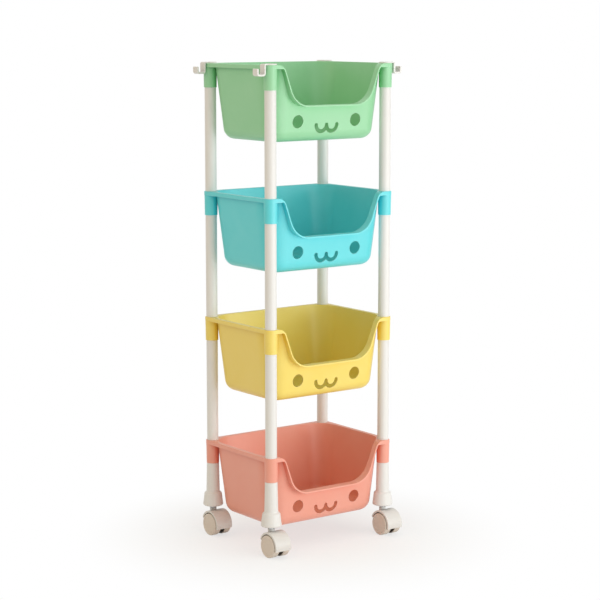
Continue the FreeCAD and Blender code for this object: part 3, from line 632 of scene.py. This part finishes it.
class CART_OT_studio(CartOperator, bpy.types.Operator):
    """Set up the pale floor, the soft lamps and the camera"""

    bl_idname = "cart.studio"
    bl_label = "Studio"

    def execute(self, context):
        scene = context.scene
        scene.view_settings.view_transform = "Standard"
        feet = [sum(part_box(f"foot_{corner}"), Vector()) / 2 for corner in CORNERS]
        self.middle = sum(feet, Vector()) / len(feet)
        self.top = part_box("basket_green")[1].z
        self.floor(scene)
        self.air(scene)
        for name in LAMPS:
            self.softbox(scene, name, getattr(self.cart, name))
        self.camera(scene)
        return {"FINISHED"}

    def seen_share(self, start):
        """1 for what the camera sees itself or in gloss or glass, 0 for other light."""
        rays = [start.node("ShaderNodeLightPath", {}, output=name)
                for name in ("Is Camera Ray", "Is Glossy Ray", "Is Transmission Ray")]
        return start.math("MINIMUM", rays[0] + rays[1] + rays[2], 1.0)

    def floor(self, scene):
        """A round sheet of paper that keeps a share of the cart's shadow and fades to white."""
        stage = self.cart.stage
        shape = bmesh.new()
        bmesh.ops.create_circle(shape, cap_ends=True, segments=96, radius=stage.floor_radius)
        mesh = bpy.data.meshes.new("studio_floor")
        shape.to_mesh(mesh)
        shape.free()
        floor = bpy.data.objects.new("studio_floor", mesh)
        scene.collection.objects.link(floor)
        material, start = new_material("studio_paper")
        far = between(length(object_place(start)), stage.fade_start, stage.fade_end)
        bright = self.seen_share(start) * (1 - stage.shadow_share * (1 - far))
        paper = start.node("ShaderNodeBsdfDiffuse", {"Color": tuple(stage.paper)})
        glow = start.node("ShaderNodeEmission", {"Color": WHITE, "Strength": 1.0})
        mixed = start.node("ShaderNodeMixShader", {0: bright, 1: paper, 2: glow})
        start.node("ShaderNodeOutputMaterial", {"Surface": mixed})
        mesh.materials.append(material)

    def air(self, scene):
        """Light from all round, which looks white itself."""
        stage = self.cart.stage
        scene.world = bpy.data.worlds.new("studio_air")
        scene.world.use_nodes = True
        scene.world.node_tree.nodes.clear()
        start = Wire(scene.world.node_tree)
        seen = self.seen_share(start)
        colour = blend(seen, tuple(stage.air_colour), WHITE)
        strength = seen * (1 - stage.air) + stage.air
        glow = start.node("ShaderNodeBackground", {"Color": colour, "Strength": strength})
        start.node("ShaderNodeOutputWorld", {"Surface": glow})

    def softbox(self, scene, name, settings):
        """Rectangular lamp at its turn, distance and height, aimed at the cart's middle."""
        light = bpy.data.lights.new(name, "AREA")
        light.shape = "RECTANGLE"
        light.size = settings.face_width
        light.size_y = settings.face_height
        light.energy = settings.power
        light.color = settings.colour
        box = bpy.data.objects.new(name, light)
        scene.collection.objects.link(box)
        aim = Vector((self.middle.x, self.middle.y, self.top / 2))
        box.location = aim + self.outwards(settings.turn, settings.distance)
        box.location.z = settings.height
        box.rotation_euler = (aim - box.location).to_track_quat("-Z", "Y").to_euler()

    def camera(self, scene):
        stage = self.cart.stage
        camera = bpy.data.objects.new("camera", bpy.data.cameras.new("camera"))
        scene.collection.objects.link(camera)
        camera.data.lens = stage.lens
        camera.data.clip_end = stage.view_reach
        above = Vector((self.middle.x, self.middle.y, self.top + stage.view_rise))
        camera.location = above + self.outwards(stage.view_turn, stage.view_distance)
        camera.rotation_euler = (math.pi / 2 - stage.view_pitch, 0, stage.view_turn + stage.view_aim)
        scene.camera = camera

    def outwards(self, turn, distance):
        """Level way from the cart's middle to a place at a turn from its front."""
        return Vector((math.sin(turn), -math.cos(turn), 0)) * distance


class CART_PT_sidebar(bpy.types.Panel):
    """The cart's settings and the buttons that make it"""

    bl_label = "Toy Storage Cart"
    bl_space_type = "VIEW_3D"
    bl_region_type = "UI"
    bl_category = "Toy Cart"

    def draw(self, context):
        for operator in OPERATORS:
            self.layout.operator(operator.bl_idname)
        cart = context.scene.cart
        for part in CartSettings.__annotations__:
            group = getattr(cart, part)
            column = self.layout.box().column()
            column.label(text=part.replace("_", " ").capitalize())
            for name in group.__annotations__:
                column.prop(group, name)


OPERATORS = (CART_OT_baskets, CART_OT_posts, CART_OT_casters, CART_OT_studio)
GROUPS = (CartColours, CartFinish, CartMarks, CartStage, CartKeyLamp, CartFillLamp, CartTopLamp, CartSettings)
CLASSES = (*GROUPS, *OPERATORS, CART_PT_sidebar)


def register():
    for item in CLASSES:
        bpy.utils.register_class(item)
    bpy.types.Scene.cart = PointerProperty(type=CartSettings)


def unregister():
    del bpy.types.Scene.cart
    for item in reversed(CLASSES):
        bpy.utils.unregister_class(item)


def main():
    register()
    bpy.ops.cart.baskets()
    bpy.ops.cart.posts()
    bpy.ops.cart.casters()
    bpy.ops.cart.studio()


if __name__ == "__main__":
    main()
